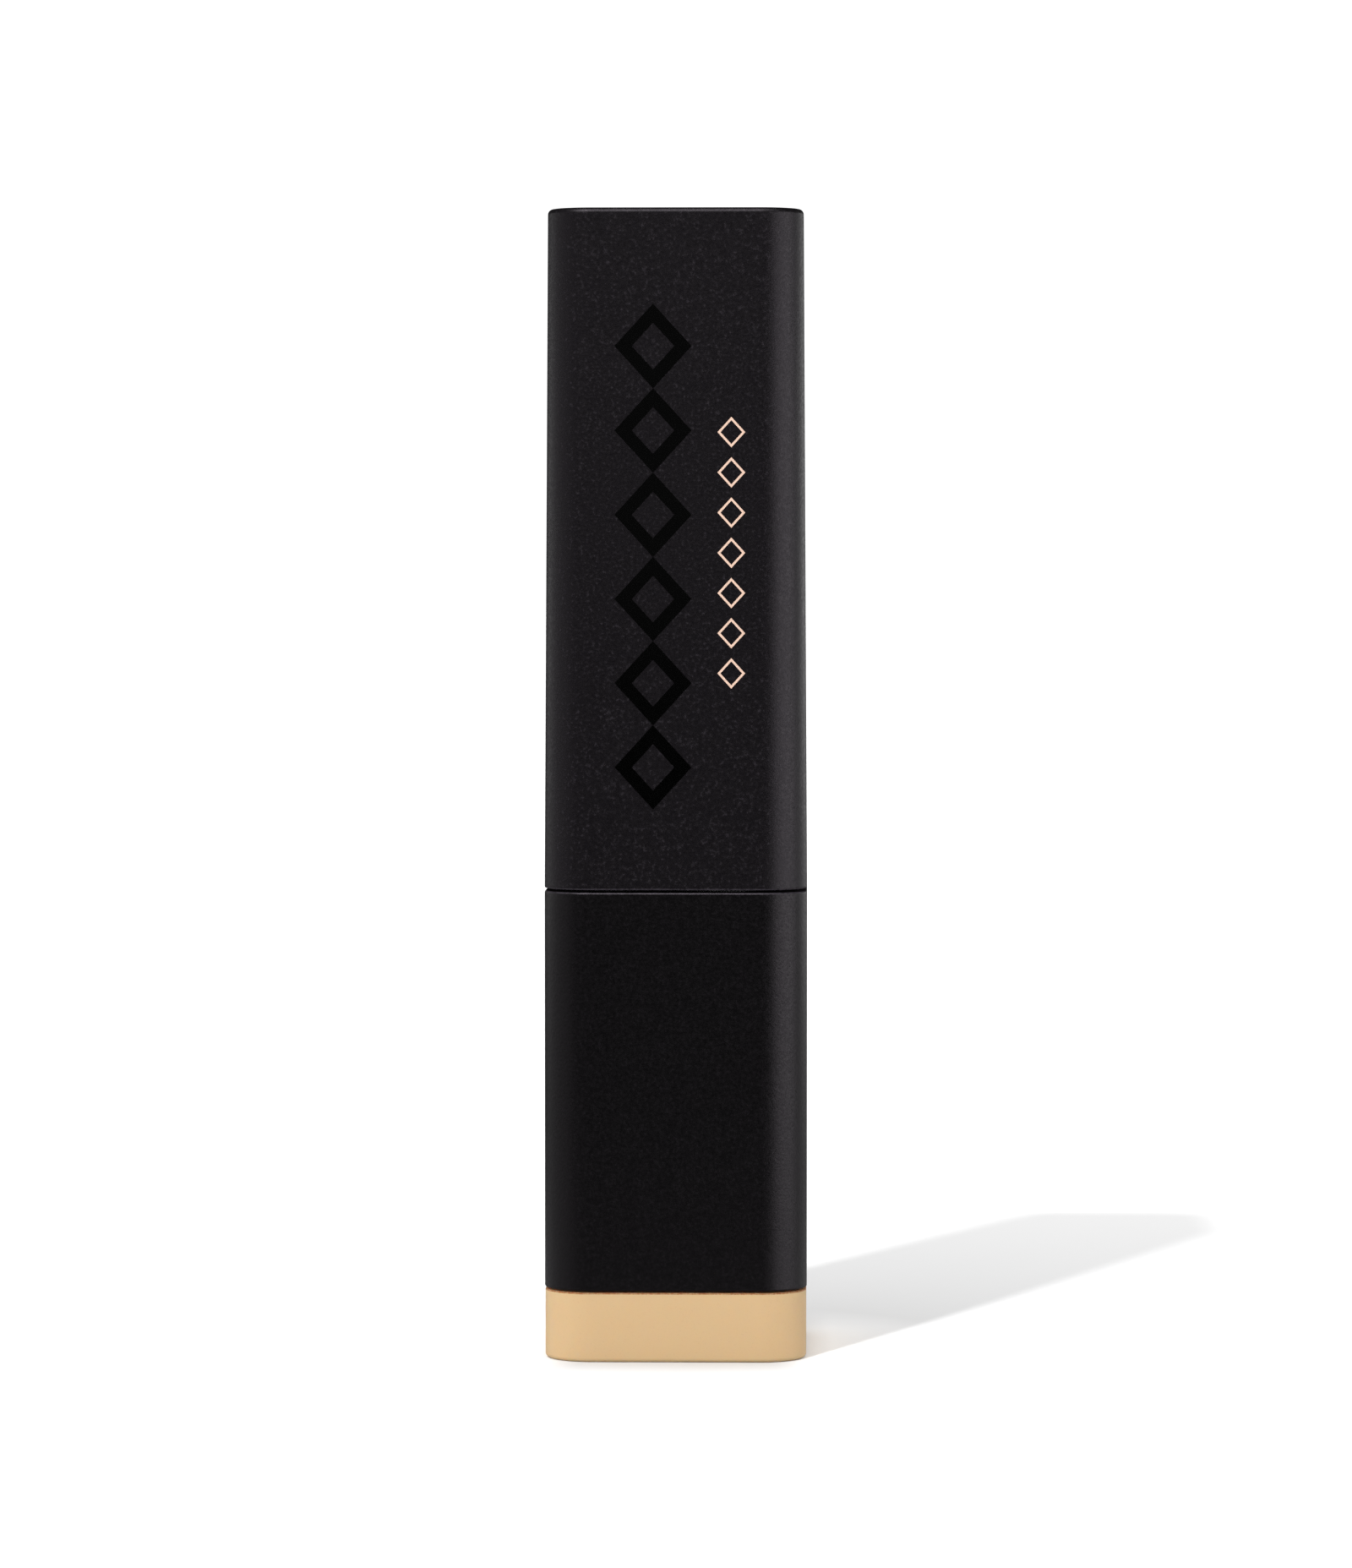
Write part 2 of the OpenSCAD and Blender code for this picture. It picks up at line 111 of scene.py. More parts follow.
class CaseSizes(bpy.types.PropertyGroup):
    """Sizes of the case that its boxes don't give"""

    corner: size("Corner radius", "Plan radius of the upright corners", 3.6)
    cap_wall: size("Cap wall", "Wall of the cap at its mouth", 1.35)
    cap_top_wall: size("Cap top", "Thickness of the cap's closed top", 1.6)
    cap_draft: size("Cap draft", "Inward lean of each cap face from mouth to top", 0.29)
    cap_edge: size("Cap edge", "Rounding of the cap's top edge", 0.4)
    seam_edge: size("Seam edge", "Rounding of the edges that meet at the seam", 0.15)
    body_wall: size("Body wall", "Wall of the lower shell", 1.35)
    body_lip: size("Body rim", "Thickness of the lower shell's turned-in rim", 0.8)
    body_reach: size("Rim reach", "Reach of the rim past the lower shell's wall", 0.6)
    base_height: size("Base height", "Visible height of the shade coloured base", 5.3)
    base_edge: size("Base edge", "Rounding of the base's bottom edge", 0.35)
    joint_edge: size("Joint edge", "Rounding of the edges at the base joint", 0.15)
    base_floor: size("Base floor", "Floor of the base", 1.6)
    plug_wall: size("Plug wall", "Wall of the base's plug", 1.2)
    plug_gap: size("Plug gap", "Gap between the base's plug and the lower shell's wall", 0.03)
    recess_radius: size("Recess radius", "Radius of the label's recess", 6.8)
    recess_depth: size("Recess depth", "Depth of the label's recess", 0.3)
    collar_corner: size("Collar corner", "Plan radius of the collar's corners", 2.2)
    collar_wall: size("Collar wall", "Wall of the collar's sleeve", 0.35)
    collar_lip: size("Collar lip", "Thickness of the collar's turned-in top", 0.7)
    collar_edge: size("Collar edge", "Rounding of the collar's top edge", 0.5)
    collar_mouth: size("Collar mouth", "Radius of the collar's round mouth", 6.12)
    mouth_chamfer: size("Mouth chamfer", "Chamfer of the collar's mouth", 0.25)
    groove_rise: size("Groove rise", "Height of the groove's middle above the collar's foot", 4.0)
    groove_width: size("Groove width", "Height of the snap groove", 0.8)
    groove_depth: size("Groove depth", "Depth of the snap groove", 0.1)
    groove_slope: size("Groove slope", "Width of the slopes at the snap groove's sides", 0.02)
    cup_radius: size("Cup radius", "Outer radius of the cup", 6.0)
    cup_wall: size("Cup wall", "Wall of the cup", 0.45)
    cup_floor: size("Cup floor", "Floor of the cup", 1.0)
    cup_hole: size("Cup hole", "Radius of the hole in the cup's floor", 1.5)
    cup_edge: size("Cup edge", "Chamfer of the cup's outer edges, and half that of its mouth", 0.1)
    lug_radius: size("Lug radius", "Radius of the two drive lugs", 0.75)
    lug_rise: size("Lug rise", "Height of the lugs' middle above the cup's foot", 1.5)
    tip_recess: size("Tip recess", "Depth of the stick's tip below the collar's top", 1.2)
    slant_drop: size("Slant drop", "Drop of the stick's slanted face from heel to tip", 8.0)
    shoulder: size("Shoulder", "Height of the stick's rounded shoulder", 3.0)
    shoulder_reach: size("Shoulder reach", "Reach of the shoulder in from the stick's side", 1.9)
    slant_edge: size("Slant edge", "Rounding round the stick's slanted face", 0.12)


class MarkSizes(bpy.types.PropertyGroup):
    """Sizes of the plain pattern on the cap's front"""

    count: IntProperty(
        name="Lozenges", description="Number of large open lozenges", default=6, min=1)
    pitch: size("Pitch", "Distance between the large lozenges", 6.35)
    width: size("Width", "Width of a large lozenge", 5.8)
    height: size("Height", "Height of a large lozenge", 6.35)
    stroke: size("Stroke", "Width of a large lozenge's line", 0.95)
    centre_x: size("Across", "Distance of the row's middle left of the face's middle", 1.65)
    centre_z: size("Up", "Height of the row's middle", 61.05)
    film: size("Film", "Thickness of the varnish film", 0.02)
    foil_count: IntProperty(
        name="Foil marks", description="Number of small foil lozenges", default=7, min=1)
    foil_pitch: size("Foil pitch", "Distance between the foil marks", 3.03)
    foil_width: size("Foil width", "Width of a foil mark", 2.1)
    foil_height: size("Foil height", "Height of a foil mark", 2.3)
    foil_stroke: size("Foil stroke", "Width of a foil mark's line", 0.17)
    foil_x: size("Foil across", "Distance of the foil row right of the face's middle", 4.26)
    foil_z: size("Foil up", "Height of the foil row's middle", 61.35)


class CaseColours(bpy.types.PropertyGroup):
    """Colours of the case's finishes"""

    lacquer: colour("Lacquer", "Matte black soft-touch lacquer", "060407")
    lacquer_grit: colour("Lacquer grit", "Lighter specks in the lacquer", "1C191E")
    # Painted shade: the lower shell gets a darker copy of the cap's lacquer, for the weaker light
    # on its face
    shaded_lower_lacquer: colour("Lower lacquer", "Deeper black lacquer of the lower shell", "010101")
    varnish: colour("Varnish", "Gloss black varnish film", "020202")
    # Painted highlight: a lighter tone along the seam edges of the cap and the lower shell
    painted_edge_highlight: colour("Rubbed edge", "Lacquer rubbed thin along the shells' edges", "322E34")
    # Painted shade: the base's top edge, under the lower shell's overhang, is deeper and redder
    joint: colour("Joint", "Deeper, redder tone of the base's edge in the joint", "8A5230")
    foil: colour("Foil", "Rose gold stamping foil", "F0CDB8")
    shade: colour("Shade", "Satin moulded base", "C0A47E")
    wax: colour("Wax", "Stick of wax and pigment", "D2A97C")
    anodised: colour("Anodised", "Black anodised collar", "2A292C")
    liner: colour("Liner", "Black polypropylene of the liner, core and spiral tube", "1B1B1D")
    acetal: colour("Acetal", "Natural acetal tube, ring and cup", "E6E3DA")
    rubber: colour("Rubber", "Brake ring elastomer", "1E1E1E")
    zinc: colour("Zinc", "Zinc plated steel weight", "B9BCBE")
    paper: colour("Paper", "Plain label paper", "ECE8DF")


def add_node(tree, kind, inputs=None, **settings):
    """Adds a node, sets it, and links or fills the inputs that are named."""
    node = tree.nodes.new(kind)
    for name, value in settings.items():
        setattr(node, name, value)
    for name, value in (inputs or {}).items():
        if isinstance(value, bpy.types.NodeSocket):
            tree.links.new(value, node.inputs[name])
        else:
            node.inputs[name].default_value = value
    return node


def grained_finish(name, tone, second_tone, grain, relief, roughness, roughness_spread=0.08,
                   waviness=0.0, stretch=(1, 1, 1), painted_edge_light=None, **shader):
    """A finish whose tone, roughness and relief vary with a fine grain.

    grain is the grain's size and relief its height, both in metres; waviness is the height of the
    slow ripple; stretch draws the grain out along an axis, as brushing does; painted_edge_light
    paints a highlight or a shade in its colour on the marked edges, broken by the grain.
    """
    if name in bpy.data.materials:
        return bpy.data.materials[name]
    material = bpy.data.materials.new(name)
    material.use_nodes = True
    tree = material.node_tree
    tree.nodes.clear()
    place = add_node(tree, "ShaderNodeTexCoord")
    mapping = add_node(tree, "ShaderNodeMapping", {
        "Vector": place.outputs["Object"], "Scale": stretch})
    fine = add_node(tree, "ShaderNodeTexNoise", {
        "Vector": mapping.outputs["Vector"], "Scale": 1 / grain, "Detail": 2.0, "Roughness": 0.6})
    slow = add_node(tree, "ShaderNodeTexNoise", {
        "Vector": place.outputs["Object"], "Scale": 1 / RIPPLE, "Detail": 1.0, "Roughness": 0.5})
    specks = add_node(tree, "ShaderNodeMapRange", {
        "Value": fine.outputs["Fac"], "From Min": 0.55, "From Max": 0.78,
        "To Min": 0.0, "To Max": 1.0}, interpolation_type="SMOOTHSTEP")
    tint = add_node(tree, "ShaderNodeMix", {
        "Factor": specks.outputs["Result"], "A": (*tone, 1), "B": (*second_tone, 1)},
        data_type="RGBA")
    # The marked edges get a painted highlight or a painted shade, broken up by the grain
    if painted_edge_light:
        edge = add_node(tree, "ShaderNodeAttribute", attribute_name=PAINTED_EDGE_LIGHT)
        broken = add_node(tree, "ShaderNodeMath", {
            0: edge.outputs["Fac"], 1: fine.outputs["Fac"]}, operation="MULTIPLY")
        edge_light_mask = add_node(tree, "ShaderNodeMapRange", {
            "Value": broken.outputs["Value"], "From Min": 0.15, "From Max": 0.6})
        tint = add_node(tree, "ShaderNodeMix", {
            "Factor": edge_light_mask.outputs["Result"], "A": tint.outputs[2], "B": (*painted_edge_light, 1)},
            data_type="RGBA")
    gloss = add_node(tree, "ShaderNodeMapRange", {
        "Value": fine.outputs["Fac"], "From Min": 0.3, "From Max": 0.7,
        "To Min": roughness - roughness_spread, "To Max": roughness + roughness_spread})
    ripple = add_node(tree, "ShaderNodeBump", {
        "Height": slow.outputs["Fac"], "Distance": waviness, "Strength": 1.0})
    pores = add_node(tree, "ShaderNodeBump", {
        "Height": fine.outputs["Fac"], "Distance": relief, "Strength": 1.0,
        "Normal": ripple.outputs["Normal"]})
    surface = add_node(tree, "ShaderNodeBsdfPrincipled", {
        "Base Color": tint.outputs[2], "Roughness": gloss.outputs["Result"],
        "Normal": pores.outputs["Normal"], **shader})
    add_node(tree, "ShaderNodeOutputMaterial", {"Surface": surface.outputs["BSDF"]})
    return material


def soft_touch_lacquer(name, tone, grit, painted_edge_light, roughness):
    # Soft-touch lacquer sprayed on moulded ABS: a rubbery matting film, so light spreads widely,
    # with fine silica grit that shows as specks. The real grit is about 0.03 mm; it is drawn at
    # 0.24 mm so that it shows. Its sheen is faintly purple. A lighter painted highlight runs along
    # the marked edges, broken by the grain.
    return grained_finish(
        name, tone, grit, grain=0.24 * MM, relief=0.014 * MM, roughness=roughness,
        roughness_spread=0.06, waviness=0.003 * MM, painted_edge_light=painted_edge_light,
        **{"IOR": 1.48, "Specular IOR Level": 0.3, "Specular Tint": (1.0, 0.91, 1.0, 1)})


def gloss_varnish(colours):
    # UV-cured gloss varnish screen printed over the lacquer: a smooth, levelled film that mirrors
    # the room and looks deeper black than the paint round it.
    return grained_finish(
        "gloss_varnish", colours.varnish, colours.varnish, grain=0.6 * MM, relief=0.0,
        roughness=0.09, roughness_spread=0.02, waviness=0.0006 * MM, **{"IOR": 1.5})


def stamping_foil(colours):
    # Hot stamped rose gold foil: vacuum-deposited metal under a tinted film, which takes on the
    # grain of the lacquer that it is pressed into and scatters much of its light widely.
    return grained_finish(
        "stamping_foil", colours.foil, colours.foil, grain=0.15 * MM, relief=0.003 * MM,
        roughness=0.42, roughness_spread=0.08, **{"Metallic": 0.35})


def satin_shade_plastic(colours):
    # ABS moulded through in the colour of the shade, in a tool with a fine satin spark finish: an
    # even sheen with a soft edge to its highlights. The spark texture of 0.05 mm is drawn at 0.14.
    # The thin edge that stands in the joint gets a deeper, redder painted shade.
    deeper = tuple(c * 0.94 for c in colours.shade)
    return grained_finish(
        "satin_shade_plastic", colours.shade, deeper, grain=0.14 * MM, relief=0.0012 * MM,
        roughness=0.4, roughness_spread=0.04, waviness=0.001 * MM, painted_edge_light=colours.joint,
        **{"IOR": 1.53, "Specular IOR Level": 0.08, "Specular Tint": (1.0, 0.8, 0.55, 1),
           "Subsurface Weight": 0.4, "Subsurface Radius": (1.0, 0.45, 0.2),
           "Subsurface Scale": 1.5 * MM})


def moulded_wax(colours):
    # Wax, oils and pigment cast in a polished silicone mould: smooth, faintly sweaty surface that
    # lets a little light in.
    deeper = tuple(c * 0.93 for c in colours.wax)
    return grained_finish(
        "moulded_wax", colours.wax, deeper, grain=0.5 * MM, relief=0.002 * MM,
        roughness=0.4, roughness_spread=0.07, waviness=0.004 * MM,
        **{"IOR": 1.45, "Subsurface Weight": 0.25, "Subsurface Radius": (1.0, 0.6, 0.35),
           "Subsurface Scale": 0.6 * MM})


def black_anodised(colours):
    # Drawn aluminium sleeve, brushed along its length and anodised black: dark metal whose
    # highlights run up and down. Brush lines of 0.02 mm are drawn at 0.08.
    lighter = tuple(c * 1.5 for c in colours.anodised)
    return grained_finish(
        "black_anodised_aluminium", colours.anodised, lighter, grain=0.08 * MM, relief=0.0015 * MM,
        roughness=0.34, roughness_spread=0.08, stretch=(1, 1, 0.02), **{"Metallic": 1.0})


def black_polypropylene(colours):
    # Black polypropylene moulding, untouched from the tool: soft grey sheen.
    lighter = tuple(c * 1.3 for c in colours.liner)
    return grained_finish(
        "black_polypropylene", colours.liner, lighter, grain=0.2 * MM, relief=0.001 * MM,
        roughness=0.42, waviness=0.002 * MM, **{"IOR": 1.49})


def natural_acetal(colours):
    # Natural acetal, moulded: slick, milky white and a little translucent.
    deeper = tuple(c * 0.95 for c in colours.acetal)
    return grained_finish(
        "natural_acetal", colours.acetal, deeper, grain=0.4 * MM, relief=0.0005 * MM,
        roughness=0.3, roughness_spread=0.05, waviness=0.001 * MM,
        **{"IOR": 1.48, "Subsurface Weight": 0.12, "Subsurface Radius": (1.0, 0.9, 0.8),
           "Subsurface Scale": 0.5 * MM})


def brake_elastomer(colours):
    # Thermoplastic elastomer ring with a film of damping grease: dark, with a wet sheen.
    lighter = tuple(c * 1.4 for c in colours.rubber)
    return grained_finish(
        "brake_elastomer", colours.rubber, lighter, grain=0.15 * MM, relief=0.002 * MM,
        roughness=0.3, **{"IOR": 1.5, "Coat Weight": 0.3, "Coat Roughness": 0.1})


def zinc_plated_steel(colours):
    # Pressed steel with bright zinc plating: bluish white metal with a fine crystalline grain.
    deeper = tuple(c * 0.8 for c in colours.zinc)
    return grained_finish(
        "zinc_plated_steel", colours.zinc, deeper, grain=0.3 * MM, relief=0.003 * MM,
        roughness=0.35, roughness_spread=0.1, **{"Metallic": 1.0})


def label_paper(colours):
    # Uncoated label stock: matte, with a web of fibres about 0.1 mm apart.
    deeper = tuple(c * 0.9 for c in colours.paper)
    return grained_finish(
        "label_paper", colours.paper, deeper, grain=0.12 * MM, relief=0.005 * MM,
        roughness=0.85, roughness_spread=0.05, stretch=(1, 0.5, 1), **{"IOR": 1.45})


def square_bar(half, corner, foot, top):
    """A square bar with round upright corners, as a new bmesh."""
    mesh = bmesh.new()
    bmesh.ops.create_cube(mesh, size=1.0)
    bmesh.ops.scale(mesh, vec=(2 * half, 2 * half, top - foot), verts=mesh.verts)
    bmesh.ops.translate(mesh, vec=(0, 0, (foot + top) / 2), verts=mesh.verts)
    uprights = [e for e in mesh.edges if abs(e.verts[0].co.z - e.verts[1].co.z) > PAST]
    bmesh.ops.bevel(mesh, geom=uprights, offset=corner, offset_type="OFFSET", segments=CORNER_ARC,
                    profile=0.5, affect="EDGES", material=-1, clamp_overlap=False)
    return mesh


def level_face(mesh, height):
    """The large flat face at a height."""
    flat = [f for f in mesh.faces if all(abs(v.co.z - height) < PAST for v in f.verts)]
    return max(flat, key=lambda f: f.calc_area())


def step_in(mesh, face, wall, height):
    """Insets a level face by a wall, then pushes it to a height. Returns the moved face."""
    bmesh.ops.inset_region(mesh, faces=[face], thickness=wall, depth=0.0, use_even_offset=True)
    pushed = bmesh.ops.extrude_discrete_faces(mesh, faces=[face])["faces"][0]
    bmesh.ops.translate(mesh, vec=(0, 0, height - pushed.verts[0].co.z), verts=pushed.verts)
    return pushed


def reach(item):
    """Largest distance along X or Y from the axis to a corner of an edge or a face."""
    return max(max(abs(v.co.x), abs(v.co.y)) for v in item.verts)


def loop_at(mesh, height, nearest=0.0):
    """Edges that lie at a height and reach at least a distance from the axis along X or Y."""
    return [e for e in mesh.edges
            if all(abs(v.co.z - height) < PAST for v in e.verts) and reach(e) >= nearest]


def round_edges(mesh, edges, radius, arc=EDGE_ARC, painted_light=False):
    """Rounds edges; painted_light marks the middle of the rounding for a painted highlight or
    shade.
    """
    rounding = bmesh.ops.bevel(
        mesh, geom=edges, offset=radius, offset_type="OFFSET", segments=arc, profile=0.5,
        affect="EDGES", material=-1, clamp_overlap=False)["faces"]
    if painted_light:
        tone = mesh.verts.layers.float.get(PAINTED_EDGE_LIGHT) or mesh.verts.layers.float.new(PAINTED_EDGE_LIGHT)
        for vert in {v for f in rounding for v in f.verts}:
            vert[tone] = float(all(f in rounding for f in vert.link_faces))


def hole_in(mesh, face, radius):
    """Cuts a round hole in a level face and returns the hole's edges."""
    height = face.verts[0].co.z
    rim = list(face.edges)
    bmesh.ops.delete(mesh, geom=[face], context="FACES_ONLY")
    ring = bmesh.ops.create_circle(mesh, segments=ROUND, radius=radius,
                                   matrix=Matrix.Translation((0, 0, height)))["verts"]
    edges = list(dict.fromkeys(e for v in ring for e in v.link_edges))
    bmesh.ops.triangle_fill(mesh, use_beauty=True, use_dissolve=False, edges=rim + edges)
    return edges


def ring_between(mesh, edges, radius, height):
    """Carries a ring of edges on to another radius and height."""
    new = bmesh.ops.extrude_edge_only(mesh, edges=edges)["geom"]
    verts = [g for g in new if isinstance(g, bmesh.types.BMVert)]
    old = verts[0].co.xy.length
    bmesh.ops.scale(mesh, vec=(radius / old, radius / old, 1), verts=verts)
    bmesh.ops.translate(mesh, vec=(0, 0, height - verts[0].co.z), verts=verts)
    return [g for g in new if isinstance(g, bmesh.types.BMEdge)
            and all(abs(v.co.z - height) < PAST for v in g.verts)]


def turned(profile, closed=False):
    """A piece turned from (radius, height) points; closed joins the last point to the first."""
    mesh = bmesh.new()
    points = [mesh.verts.new((r, 0, z)) for r, z in profile]
    edges = [mesh.edges.new(pair) for pair in zip(points, points[1:])]
    if closed:
        edges.append(mesh.edges.new((points[-1], points[0])))
    bmesh.ops.spin(mesh, geom=points + edges, cent=(0, 0, 0), axis=(0, 0, 1), dvec=(0, 0, 0),
                   angle=2 * math.pi, steps=ROUND, use_merge=True)
    bmesh.ops.remove_doubles(mesh, verts=mesh.verts, dist=0.001 * MM)
    bmesh.ops.recalc_face_normals(mesh, faces=mesh.faces)
    return mesh


def finished_piece(name, mesh, material, body, node=None):
    """Turns a bmesh into a smooth-shaded object that rides on a body and may replace a CAD node."""
    for face in mesh.faces:
        face.smooth = True
    for edge in mesh.edges:
        edge.smooth = edge.calc_face_angle(math.pi) < SMOOTH_BELOW
    data = bpy.data.meshes.new(name)
    mesh.to_mesh(data)
    mesh.free()
    piece = bpy.data.objects.new(name, data)
    bpy.context.scene.collection.objects.link(piece)
    data.materials.append(material)
    # Keeps the broad flats flat beside their rounded edges
    evened = piece.modifiers.new("evened_normals", "WEIGHTED_NORMAL")
    evened.keep_sharp = True
    evened.weight = 90
    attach(piece, body)
    if node:
        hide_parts(node)
    return piece


class STICKCASE_OT_cap(bpy.types.Operator):
    """Build the tall cap"""

    bl_idname = "stickcase.cap"
    bl_label = "Cap"

    def execute(self, context):
        sizes, colours = context.scene.case_sizes, context.scene.case_colours
        half = CAP_HIGH.x
        mouth, top = CAP_LOW.z, CAP_HIGH.z
        mesh = square_bar(half, sizes.corner, mouth, top)
        # Draft: the top's outline shrinks about the corners' centres
        centre, shrunk = half - sizes.corner, 1 - sizes.cap_draft / sizes.corner
        for vert in mesh.verts:
            if abs(vert.co.z - top) < PAST:
                for axis in (0, 1):
                    middle = math.copysign(centre, vert.co[axis])
                    vert.co[axis] = middle + (vert.co[axis] - middle) * shrunk
        step_in(mesh, level_face(mesh, mouth), sizes.cap_wall, top - sizes.cap_top_wall)
        round_edges(mesh, loop_at(mesh, top), sizes.cap_edge)
        # The cap's mouth edge gets a painted highlight
        round_edges(mesh, loop_at(mesh, mouth, half - sizes.corner), sizes.seam_edge, painted_light=True)
        finish = soft_touch_lacquer(
            "soft_touch_lacquer", colours.lacquer, colours.lacquer_grit, colours.painted_edge_highlight,
            roughness=0.46)
        finished_piece("cap_shell_skin", mesh, finish, "cap", "cap_shell")
        return {"FINISHED"}


class STICKCASE_OT_body(bpy.types.Operator):
    """Build the lower shell"""

    bl_idname = "stickcase.body"
    bl_label = "Lower shell"

    def execute(self, context):
        sizes, colours = context.scene.case_sizes, context.scene.case_colours
        half = BODY_HIGH.x
        foot, top = BODY_LOW.z, BODY_HIGH.z
        mesh = square_bar(half, sizes.corner, foot, top)
        shelf = step_in(mesh, level_face(mesh, foot), sizes.body_wall, top - sizes.body_lip)
        bmesh.ops.inset_region(mesh, faces=[shelf], thickness=sizes.body_reach,
                               use_even_offset=True)
        lid = level_face(mesh, top)
        bmesh.ops.inset_region(mesh, faces=[lid], thickness=sizes.body_wall + sizes.body_reach,
                               use_even_offset=True)
        rims = list(shelf.edges) + list(lid.edges)
        bmesh.ops.delete(mesh, geom=[shelf, lid], context="FACES_ONLY")
        bmesh.ops.bridge_loops(mesh, edges=rims)
        bmesh.ops.recalc_face_normals(mesh, faces=mesh.faces)
        # The lower shell's top edge gets a painted highlight
        round_edges(mesh, loop_at(mesh, top, half - sizes.body_wall), sizes.seam_edge, painted_light=True)
        round_edges(mesh, loop_at(mesh, foot, half - sizes.body_wall + PAST), sizes.joint_edge)
        # The lower shell's lacquer is the darker copy, a painted shade
        finish = soft_touch_lacquer(
            "shaded_soft_touch_lacquer", colours.shaded_lower_lacquer, colours.lacquer, colours.painted_edge_highlight,
            roughness=0.43)
        finished_piece("body_shell_skin", mesh, finish, "base", "body_shell")
        return {"FINISHED"}


class STICKCASE_OT_base(bpy.types.Operator):
    """Build the shade coloured base with its plug and label recess"""

    bl_idname = "stickcase.base"
    bl_label = "Shade base"

    def execute(self, context):
        sizes, colours = context.scene.case_sizes, context.scene.case_colours
        half = BASE_HIGH.x
        corner = sizes.corner - (BODY_HIGH.x - half)
        mesh = square_bar(half, corner, 0, sizes.base_height)
        round_edges(mesh, loop_at(mesh, 0), sizes.base_edge)
        # The base's top edge gets the painted shade of the joint
        round_edges(mesh, loop_at(mesh, sizes.base_height), sizes.joint_edge, painted_light=True)
        # The rounding already stands the top face in, so the plug's step is that much less
        plug_step = half - (BODY_HIGH.x - sizes.body_wall - sizes.plug_gap) - sizes.joint_edge
        plug = step_in(mesh, level_face(mesh, sizes.base_height), plug_step, BASE_HIGH.z)
        step_in(mesh, plug, sizes.plug_wall, sizes.base_floor)
        rim = hole_in(mesh, level_face(mesh, 0), sizes.recess_radius)
        rim = ring_between(mesh, rim, sizes.recess_radius, sizes.recess_depth)
        bmesh.ops.contextual_create(mesh, geom=rim)
        bmesh.ops.recalc_face_normals(mesh, faces=mesh.faces)
        finished_piece("shade_base_skin", mesh, satin_shade_plastic(colours), "base",
                       "shade_base")
        return {"FINISHED"}


class STICKCASE_OT_collar(bpy.types.Operator):
    """Build the collar that the cap slides over"""

    bl_idname = "stickcase.collar"
    bl_label = "Collar"

    def execute(self, context):
        sizes, colours = context.scene.case_sizes, context.scene.case_colours
        half = COLLAR_HIGH.x
        foot, top = COLLAR_LOW.z, COLLAR_HIGH.z
        mesh = square_bar(half, sizes.collar_corner, foot, top)
        ledge = step_in(mesh, level_face(mesh, foot), sizes.collar_wall, top - sizes.collar_lip)
        mouth, chamfer = sizes.collar_mouth, sizes.mouth_chamfer
        round_edges(mesh, loop_at(mesh, top), sizes.collar_edge)
        above = hole_in(mesh, level_face(mesh, top), mouth + chamfer)
        above = ring_between(mesh, above, mouth, top - chamfer)
        below = hole_in(mesh, ledge, mouth)
        bmesh.ops.bridge_loops(mesh, edges=above + below)
        # Snap groove round the sleeve
        middle = foot + sizes.groove_rise
        for height in (middle - sizes.groove_width / 2, middle + sizes.groove_width / 2):
            outside = [f for f in mesh.faces if reach(f) > half - sizes.collar_wall / 2]
            edges = {e for f in outside for e in f.edges}
            corners = {v for f in outside for v in f.verts}
            bmesh.ops.bisect_plane(mesh, geom=outside + list(edges | corners),
                                   plane_co=(0, 0, height), plane_no=(0, 0, 1))
        band = [f for f in mesh.faces
                if abs(f.calc_center_median().z - middle) < sizes.groove_width / 4
                and reach(f) > half - sizes.collar_corner
                and f.normal.dot(Vector((*f.calc_center_median().xy, 0))) > 0]
        bmesh.ops.inset_region(mesh, faces=band, thickness=sizes.groove_slope,
                               depth=-sizes.groove_depth, use_even_offset=True)
        bmesh.ops.recalc_face_normals(mesh, faces=mesh.faces)
        finished_piece("collar_sleeve", mesh, black_anodised(colours), "collar",
                       "collar_shell")
        return {"FINISHED"}


class STICKCASE_OT_cup(bpy.types.Operator):
    """Build the cup with its two drive lugs"""

    bl_idname = "stickcase.cup"
    bl_label = "Cup"

    def execute(self, context):
        sizes, colours = context.scene.case_sizes, context.scene.case_colours
        low, high = CUP_LOW.z, CUP_HIGH.z
        outer, inner = sizes.cup_radius, sizes.cup_radius - sizes.cup_wall
        floor, rim = low + sizes.cup_floor, sizes.cup_edge
        mesh = turned([
            (sizes.cup_hole, low), (outer - rim, low), (outer, low + rim), (outer, high - rim),
            (outer - rim, high), (inner + 2 * rim, high), (inner, high - 2 * rim), (inner, floor),
            (sizes.cup_hole, floor)], closed=True)
        for side in (-1, 1):
            length = CUP_HIGH.x - outer + sizes.cup_wall / 2
            place = Matrix.Translation((side * (CUP_HIGH.x - length / 2), 0, low + sizes.lug_rise))
            bmesh.ops.create_cone(mesh, cap_ends=True, segments=LUG_ROUND, depth=length,
                                  radius1=sizes.lug_radius, radius2=sizes.lug_radius,
                                  matrix=place @ Matrix.Rotation(math.pi / 2, 4, "Y"))
        finished_piece("stick_cup", mesh, natural_acetal(colours), "carrier",
                       "cup")
        return {"FINISHED"}


